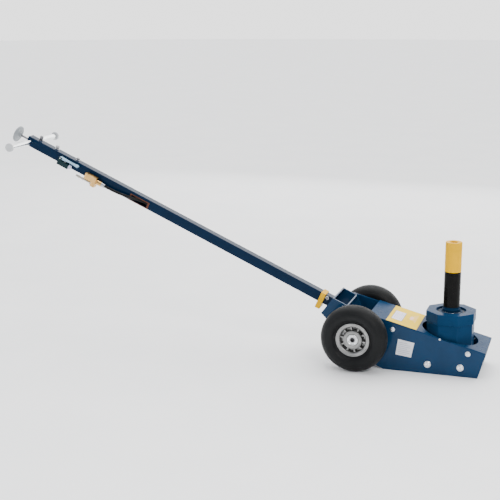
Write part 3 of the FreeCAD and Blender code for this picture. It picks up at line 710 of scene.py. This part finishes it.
def lift():
    """The housing with its gland and wiper, the two rams and the two extensions."""
    finished("lift_housing", "cover_blue", 2.6, 4)
    gland = [(57, 200), (57, 223.4), (55.4, 225), (51.5, 225), (50.4, 223.8), (50, 218), (45.1, 218), (45.1, 200),
             (57, 200)]

    def spanner_holes(radius, along, angle):
        if along > 223 and 50.9 < radius < 56 and abs(sector_offset(angle, 4)) < 0.09:
            return radius, along - 4
        return radius, along

    lathe("gland", gland, LIFT, UP, "matt_blue", "chassis", "gland_ring", soft=0.6, segments=180,
          shift=spanner_holes, slot="blue_paint")
    lathe("wiper", [(45.1, 218.2), (49.9, 218.2), (49.9, 224.6), (48.5, 225.4), (47, 224.4), (45.9, 225.8),
                    (45.1, 225.6), (45.1, 218.2)], LIFT, UP, "rubber", "chassis", "wiper_seal", soft=0.4,
          slot="black_rubber")
    lathe("ram_outer", [(0, 29), (49.9, 29), (49.9, 33), (48, 33.5), (48, 37), (49.9, 37.5), (49.9, 43), (45, 43),
                        (45, 225.6), (36.1, 225.6), (36.1, 205), (39, 205), (39, 39), (0, 39)],
          LIFT, UP, "ground", "outer_ram", "outer_ram", soft=1.0, slot="chrome")
    lathe("ram_cap", [(36.3, 225.5), (44.95, 225.5), (44.95, 226), (36.3, 226), (36.3, 225.5)], LIFT, UP,
          "matt_blue", "outer_ram", soft=0.2, slot="blue_paint")
    lathe("ram_inner", [(0, 40), (38.9, 40), (38.9, 44), (37, 44.5), (37, 48), (38.9, 48.5), (38.9, 54), (36, 54),
                        (36, 226.8), (16, 226.8), (16, 195), (0, 195)],
          LIFT, UP, "ground", "inner_ram", "inner_ram", soft=1.0, slot="chrome")
    lathe("ram_inner_end", [(16, 226.7), (36, 226.7), (36, 228.3), (35.3, 229), (16.7, 229), (16, 228.4),
                            (16, 226.7)], LIFT, UP, "matt_blue", "inner_ram", soft=0.2, slot="blue_paint")
    post("lower_post", "lower_extension", 229.3, 383, 34.5, "black")
    lathe("lower_post_foot", [(31.4, 229.4), (34.62, 229.4), (34.62, 237.3), (31.85, 240.3), (31.85, 245.6),
                              (31.4, 246.2), (31.4, 229.4)],
          LIFT, UP, "matt_blue", "lower_extension", soft=0.3, slot="blue_paint")
    post("upper_post", "upper_extension", 383.3, 499, 31.7, "yellow")


def post(name, node, low, high, foot, look):
    """A round extension with a turned foot, a chamfered top lip and its socket."""
    profile = [(0, low - 32), (13.5, low - 32), (15.9, low - 29), (15.9, low), (foot - 1.2, low), (foot, low + 1.2),
               (foot, low + 8), (31.7, low + 11), (31.7, high - 9), (31.1, high - 8.4), (31.1, high - 7),
               (31.7, high - 6.4), (31.7, high - 1.6), (30.2, high), (17.8, high), (16, high - 1.8),
               (16, high - 34), (0, high - 34)]
    if foot < 32:
        profile = [point for point in profile if point != (31.7, low + 11)]
    lathe(name, profile, LIFT, UP, look, node, node, soft=0.7, slot=node_slot(node))


MOTOR_HEIGHT = 66
MOTOR_BACK = row(-250, 0, MOTOR_HEIGHT)
MOTOR_PORT = row(-250, -30, MOTOR_HEIGHT)


def drive():
    """The pump block with its relief valve, and the air motor's shell, cap and port."""
    finished("pump_block", "iron", 1.6, 3)
    lathe("relief", [(0, 8), (6, 8), (6, 0), (9, 0), (9, -6.8), (7.6, -8), (3, -8), (2.6, -5), (0, -5)],
          row(-111, -40, 40), (0, 1, 0), "brass", "chassis", "relief_valve", soft=0.5, slot="brass")
    lathe("motor_shell", [(45, 0), (50, 0), (50, 6), (49, 7), (49, 113), (50, 114), (50, 120), (45, 120), (45, 0)],
          MOTOR_BACK, (1, 0, 0), "aluminium", "chassis", "air_motor_cylinder", soft=0.7, slot="aluminium")

    def screws(radius, along, angle):
        if along < -8 and 34 < radius < 46 and abs(sector_offset(angle, 6)) < 0.13:
            return radius, along - 1.8 if along > -10.2 else -12
        return radius, along

    lathe("motor_cap", [(45, 0), (50, 0), (50, -9), (47, -11), (45, -10), (36, -10), (34, -10), (30, -8), (14, -8),
                        (12, -11.5), (0, -11.5)], MOTOR_BACK, (1, 0, 0), "aluminium", "chassis",
          "air_motor_cap", soft=0.8, segments=144, shift=screws, slot="aluminium")
    lathe("motor_port", [(0, -11), (9, -11), (9, -16), (6.8, -17), (6.8, -18), (7.6, -19), (7.6, -21.9), (5.6, -22),
                         (5.6, -14), (0, -14)], MOTOR_PORT, (1, 0, 0), "brass", "chassis", soft=0.4,
          segments=96, slot="brass")


# --- wheels ---


def on_axle(side):
    """A point on the wheel axle, in millimetres to the jack's left of its middle."""
    return row(-350, side, 130)


def wheels():
    for side, sign in SIDES:
        wheel(side, sign)


def wheel(side, sign):
    """One wheel: tyre, two rim halves, hub, seal, five bolts and the tyre valve."""
    middle = on_axle(sign * 157.5)
    out = (0, sign, 0)
    body = side + "_wheel"
    half = [(51.2, 0), (51.2, 20), (52.5, 24), (56, 26.6), (67.2, 27.6), (69, 28.6), (71, 29.2), (74, 32.5),
            (78, 37.2), (79.5, 37.9), (80.6, 39.4), (84, 41.2), (90, 42.3), (97, 42.4), (104, 41.2), (108, 39.4),
            (109, 38.3), (110.2, 38.0), (114, 35.4), (119.5, 30.2), (124, 24.0), (127, 18.6), (128.3, 15.2),
            (127.2, 14.4), (127.2, 12.6), (128.7, 11.8), (129.7, 5.6), (128.6, 4.8), (128.6, 3.2), (129.9, 2.4),
            (129.95, 0)]
    profile = half + [(radius, -along) for radius, along in reversed(half[:-1])]
    lathe(body + "_tyre", profile, middle, out, "tyre", body, side + "_tyre", soft=0.9, segments=180,
          slot=node_slot(side + "_tyre"), steps=3)

    def slots(radius, along, angle):
        """Raised bridges across the channel leave ten dark pockets."""
        bridge = min(max((abs(sector_offset(angle, 10)) - 0.20) / 0.05, 0.0), 1.0)
        if 38.0 < radius < 49.2 and along < 22:
            return radius, along + (21.5 - along) * bridge
        return radius, along

    outer = [(21.05, 26.5), (33, 26.5), (37, 0.3), (51, 0.3), (51, 23), (54, 27.5), (66, 27.5), (66, 29.2),
             (65, 30.5), (62, 30.4), (60.5, 29.4), (56, 29.4), (53.5, 28.6), (51.2, 26.5), (48.6, 22), (48.2, 14),
             (48, 3.3), (39.6, 3.3), (38.6, 14), (37.4, 22), (36.6, 27.5), (35.2, 29.5), (33.6, 29.3), (32, 27.7),
             (24, 27.7), (22.6, 29.5), (21.05, 29.5), (21.05, 26.5)]
    lathe(body + "_rim_face", outer, middle, out, "rim", body, side + "_rim_outer", soft=0.8, segments=240,
          shift=slots, slot=node_slot(side + "_rim_outer"), steps=3)
    inner = [(21.05, 0), (51, 0), (51, -23), (54, -27.5), (66, -27.5), (66, -29.2), (65, -30.5), (62, -30.4),
             (60.5, -29.4), (56, -29.4), (53.5, -28.6), (51.2, -26.5), (48.4, -23), (48, -3.2), (21.05, -3),
             (21.05, 0)]
    lathe(body + "_rim_back", inner, middle, out, "rim", body, side + "_rim_inner", soft=0.8, segments=144,
          slot=node_slot(side + "_rim_inner"), steps=3)
    lathe(body + "_hub_tube", [(17.05, -30.5), (21, -30.5), (21, 28.4), (20, 29.5), (18.2, 29.5), (17.05, 28.6),
                               (17.05, -30.5)], middle, out, "zinc", body, side + "_hub", soft=0.5,
          slot=node_slot(side + "_hub"))
    seal = [(10.6, 0), (16.9, 0), (16.9, 1.2), (16.2, 1.6), (15.2, 0.9), (12.2, 0.9), (11.4, 1.5), (10.6, 1.5),
            (10.6, 0)]
    lathe(body + "_seal", [(radius, along + 26.4) for radius, along in seal], middle, out, "zinc", body,
          side + "_bearings", soft=0.2, slot="machined_steel")
    for turn in range(5):
        angle = math.radians(90 + 72 * turn)
        spot = middle + row(43.5 * math.cos(angle), 0, 43.5 * math.sin(angle))
        for end, start in ((1, 3.35), (-1, 3.05)):
            lathe("%s_bolt_%d_%s" % (body, turn, "out" if end > 0 else "in"),
                  [(0, start), (4.2, start), (4.2, start + 0.8), (3.65, start + 0.9), (3.65, start + 3.3),
                   (3.1, start + 3.9), (0, start + 3.95)], spot, (0, sign * end, 0), "steel", body,
                  side + "_rim_bolts", soft=0.2, segments=48, shift=hexagon(3.9), slot="bright_zinc")
    stem = middle + row(-36, sign * -7, 26)
    lathe(body + "_air_valve", [(0, 0), (4.4, 0), (4.0, 6), (3.4, 7), (3.4, 11), (2.9, 11.4), (2.9, 17.5),
                                (2.4, 18.6), (0, 18.8)], stem, (0.18, -sign, 0), "rubber", body, soft=0.4,
          slot="black_rubber", segments=40)


def axle():
    """The axle bar with its rings and spacers, and the lock sector."""
    # The axle's black oxide colour is partly real and partly painted shade, which darkens the hollow centre of each
    # hub.
    lathe("axle_bar", [(0, -178), (4.6, -178), (5.6, -185.9), (8.6, -186.5), (9.95, -184.6), (9.95, -183.2),
                       (9.3, -183.1), (9.3, -181.9), (9.95, -181.8), (9.95, 181.8), (9.3, 181.9), (9.3, 183.1),
                       (9.95, 183.2), (9.95, 184.6), (8.6, 186.5), (5.6, 185.9), (4.6, 178), (0, 178)],
          on_axle(0), (0, 1, 0), "oxide_and_hub_shade", "chassis", "axle", soft=0.25, slot="machined_steel")
    for side, sign in SIDES:
        lathe("circlip_" + side, [(9.35, -0.6), (13.2, -0.6), (13.2, 0.6), (9.35, 0.6), (9.35, -0.6)],
              on_axle(sign * 184.9), (0, sign, 0), "steel", "chassis", "retaining_rings", soft=0.2,
              slot="machined_steel", segments=72)
        lathe("spacer_in_" + side, [(10.05, 87.35), (16, 87.35), (16, 98.4), (10.05, 98.4), (10.05, 87.35)],
              on_axle(0), (0, sign, 0), "zinc", "chassis", "axle_spacers", soft=0.8, slot="bright_zinc")
        lathe("spacer_out_" + side, [(10.05, 106.6), (14, 106.6), (14, 126.6), (10.05, 126.6), (10.05, 106.6)],
              on_axle(0), (0, sign, 0), "zinc", "chassis", "axle_spacers", soft=0.8, slot="bright_zinc")
    finished("lock_sector", "steel", 0.8)


# --- handle ---

TUBE_MIDDLE = 33  # height of the tube's axis over the handle frame's axis
CROSSBAR_AT = 1586
# Along the tube, height and look of each nut on top of it.
TUBE_NUTS = ((1559, 19, "dark_steel"), (1477, 16, "steel"), (1373, 10, "steel"))
ENDS = (("near", 1), ("far", -1))


def handle():
    """The yoke, the tube with its welds, clamp bolt and nuts, and the crossbar."""
    for side, _sign in SIDES:
        finished("yoke_%s_plate" % side, "blue", 1.2, 3)
    finished("yoke_rear_plate", "blue", 1.0, 3)
    finished("yoke_front_plate", "blue", 1.0, 3)
    finished("handle_tube", "handle_blue", 0.5, 2, long_width=3.2, long_from=0.5)
    finished("tube_end_plate", "handle_blue", 1.0, 2)
    for side, sign in SIDES:
        inner = -sign * 79 + sign * 0.4
        weld_bead("weld_rear_" + side, on_handle(140.6, inner, 74), on_handle(156, inner, 8), 2.8,
                  "handle_blue", "handle")
        weld_bead("weld_front_" + side, on_handle(89.2, inner, 48), on_handle(89.2, inner, 75), 2.6,
                  "handle_blue", "handle")
        weld_bead("weld_tube_" + side, on_handle(163.6, -sign * 20.6, 15), on_handle(156.4, -sign * 20.6, 50),
                  2.8, "handle_blue", "handle")
    weld_bead("weld_tube_top", on_handle(154.2, -19, 53.6), on_handle(154.2, 19, 53.6), 2.6,
              "handle_blue", "handle")
    for end, sign in ENDS:
        spot = on_handle(176, sign * 20, 43)
        lathe("clamp_washer_" + end, [(0, -1), (7.5, -1), (7.5, 0.9), (7.1, 1.3), (0, 1.3)], spot, RIGHT * sign,
              "zinc", "handle", "clamp_bolt", soft=0.3, slot="bright_zinc")
        lathe("clamp_head_" + end, [(0, 1.2), (5.5, 1.2), (5.5, 5.2), (4.6, 5.95), (0, 6)], spot, RIGHT * sign,
              "dark_steel", "handle", "clamp_bolt", soft=0.2, segments=72, shift=hexagon(5.6),
              slot="bright_zinc")
    grip = on_handle(CROSSBAR_AT, 0, TUBE_MIDDLE)
    lathe("cross_grip", [(0, -190), (11, -190), (11, -120), (11, 120), (11, 190), (0, 190)], grip, RIGHT,
          "chrome", "handle", "crossbar", soft=0.5, slot=node_slot("crossbar"))
    cap = [(0, 189.9), (10, 189.9), (14.5, 190.6), (17.2, 192.2), (18, 194.8), (17.8, 197.8), (16.4, 200.4),
           (13.4, 201.8), (8, 201.4), (0, 201)]
    for end, sign in ENDS:
        lathe("cross_cap_" + end, cap, grip, RIGHT * sign, "cap", "handle", soft=1.0,
              slot=node_slot("crossbar"))
    for index, (along, tall, look) in enumerate(TUBE_NUTS):
        nut = [(0, -1), (10, -1), (10, 0.8), (9.2, 1.2), (7.9, 1.4), (7.9, tall - 4), (6.6, tall - 2.6),
               (4.4, tall - 0.6), (0, tall)]
        lathe("tube_nut_%d" % index, nut, on_handle(along, -8, 53), ABOVE, look, "handle", soft=0.5, segments=60,
              shift=hexagon_between(7.5, 8.5, 6.8), slot="bright_zinc")


LOCK_SPRING = 66


def lock():
    """The knob, its rod, the collar and the spring that pulls them back."""
    dish = [(0, -10), (8, -10), (9, -9), (9, 0), (30, 0), (34, 2), (35, 5), (34.2, 9.5), (32, 12), (30, 11.4),
            (22, 8.2), (10, 6.6), (0, 6.2)]
    lathe("knob", dish, on_handle(1654, 0, TUBE_MIDDLE), ALONG, "knob", "handle_lock", "control_knob", soft=2.0,
          slot="knob_plastic")
    lathe("rod_bar", [(0, 0), (4.5, 0), (6, 2.5), (6, 60), (4, 61), (4, 1451), (11, 1452), (11, 1456), (4, 1456),
                      (4, 1596), (0, 1596)], on_handle(48, 0, TUBE_MIDDLE), ALONG, "dark_steel", "handle_lock",
          "control_rod", soft=0.5, segments=48, slot="machined_steel")
    finished("lock_collar", "yellow", 1.4, 3)
    seat = on_handle(1505.5, 0, TUBE_MIDDLE)
    coil = helix(seat, ALONG, 8, LOCK_SPRING, 10, 1.0, "return_coil", "steel", "handle_lock", "lock_spring",
                 slot="machined_steel")
    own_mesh(coil)


# --- air valve and hoses ---

FITTINGS_SIDE = 33  # distance of the valve and the hose's fittings from the tube's axis


def valve():
    """The air valve with its lever, the brass coupling and the free plug beside it."""
    finished("valve_body", "teal", 1.0, 3)
    lathe("valve_end", [(0, 0), (10, 0), (10, 3), (8.6, 3.6), (8.6, 9), (7.2, 10.5), (4, 11.5), (0, 11.5)],
          on_handle(1383.5, FITTINGS_SIDE, 21.5), -ALONG, "lavender", "handle", soft=0.6, slot="lever_plastic")
    side = [(1448, 25), (1446, 33.2), (1438, 33.4), (1400, 31.5), (1374, 31.8), (1366, 33.4), (1359, 32.4),
            (1355.2, 28), (1356.5, 24.6), (1362, 23.6), (1378, 26.2), (1400, 26.6), (1430, 24), (1444, 23.6)]
    spot = on_handle(1387, FITTINGS_SIDE, 40)
    slab("lever", [(along - 1400, above - 28) for along, above in side], 17, spot, ALONG, ABOVE, "lever",
         "valve_lever", "valve_lever", soft=2.2, slot="lever_plastic")
    lathe("pivot_pin", [(0, -13), (2.45, -13), (2.45, 13), (0, 13)], on_handle(1428, FITTINGS_SIDE, 40.5),
          RIGHT, "zinc", "handle", "lever_pin", soft=0.5, segments=40, slot="bright_zinc")
    lathe("push_pin", [(0, -12), (3.9, -12), (3.9, -1.5), (2.5, 0), (0, 0)],
          on_handle(1407, FITTINGS_SIDE, 35.2), ABOVE, "zinc", "valve_plunger", "valve_plunger", soft=0.5,
          segments=40, slot="bright_zinc")
    finished("hose_coupling", "brass", 0.9, 3)
    ferrule = [(5.5, 0), (8.2, 0), (8.8, 1.4), (8.2, 4), (8.8, 6.6), (8.2, 9.2), (8.8, 11.8), (8.8, 16), (5.5, 16),
               (5.5, 0)]
    lathe("hose_ferrule", ferrule, on_handle(1205.5, FITTINGS_SIDE, 20), ALONG, "steel", "handle", soft=0.5,
          slot="brass")
    ribs = [point for along in range(12, 36, 4)
            for point in ((3.9, along), (4.5, along + 0.5), (4.5, along + 2.5), (3.9, along + 3))]
    plug = [(0, 0.2), (8, 0.2), (8, 8), (3.9, 8.4), *ribs, (3.9, 39.6), (5.4, 40.4), (5.4, 48), (4.1, 49.5),
            (3.9, 56), (5.4, 57.5), (5.4, 64), (4.4, 65.5), (4.4, 73.5), (5.2, 74.6), (5.2, 75.4), (4.2, 76),
            (1.8, 76), (1.8, 62), (0, 62)]
    lathe("inlet_plug", plug, on_handle(1264, FITTINGS_SIDE, 4), ALONG, "nickel", "handle", "inlet_nipple",
          soft=0.3, segments=60, shift=hexagon_between(7.5, 8.5, 6.9), slot="brass")


# The routes of part.py: the air hose in the handle frame, the lower hose in the row frame.
AIR_ROUTE = ((1222, 33, 20), (1186, 33, 20), (1150, 34.5, 21.5), (1116, 34, 25), (1080, 29, 29.5),
             (1046, 17.5, 32.5), (1012, 10.5, 33), (960, 10.5, 32.6), (150, 10.5, 33))
LOWER_ROUTE = ((-392, -41, 172), (-350, -44, 168), (-328, -43, 134), (-326, -40, 87), (-302, -30, 66),
               (-272, -30, 66))


HOSE_RADIUS = 5.5


def hose(name, route, steps, body, node):
    data = from_bmesh(name, sweep(spline_points(route, steps), lambda share, angle: HOSE_RADIUS, 24))
    return piece(name, data, "rubber", body, node, slot="black_rubber")


def hoses():
    """The air hose along the tube, and the lower hose from the handle down to the air motor's port."""
    hose("air_line", [on_handle(*point) for point in AIR_ROUTE], 12, "handle", "air_hose")
    start = [on_handle(150, 10.5, 33), on_handle(124, 10.5, 33), on_handle(96, 24, 30)]
    lower = hose("lower_line", start + [row(*point) for point in LOWER_ROUTE], 16, None, "lower_hose")
    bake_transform(lower)
    finished("hose_grommet", "grommet", 1.0, 2)


def motor_spring():
    """The spring ahead of the air piston, which rides on the piston."""
    low, high = (Vector(corner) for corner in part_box("piston_spring"))
    seat = Vector((low.x, (low.y + high.y) / 2, (low.z + high.z) / 2))
    length = (high.x - low.x) / MM
    coil = helix(seat, Vector((1, 0, 0)), 22, length, 6, 2.5, "motor_coil", "steel", "air_motor_piston",
                 "piston_spring")
    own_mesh(coil)


frame_plates()
side_hardware()
sticker()
lift()
drive()
wheels()
axle()
handle()
lock()
valve()
hoses()
motor_spring()

# CAD nodes whose shape is right: they only get a look.
KEPT = {"pressure_cylinder": "steel", "air_piston": "aluminium", "pump_plunger": "ground"}
for name, item in frame["nodes"].items():
    if name in KEPT:
        item.data.materials.clear()
        item.data.materials.append(LOOKS[KEPT[name]])
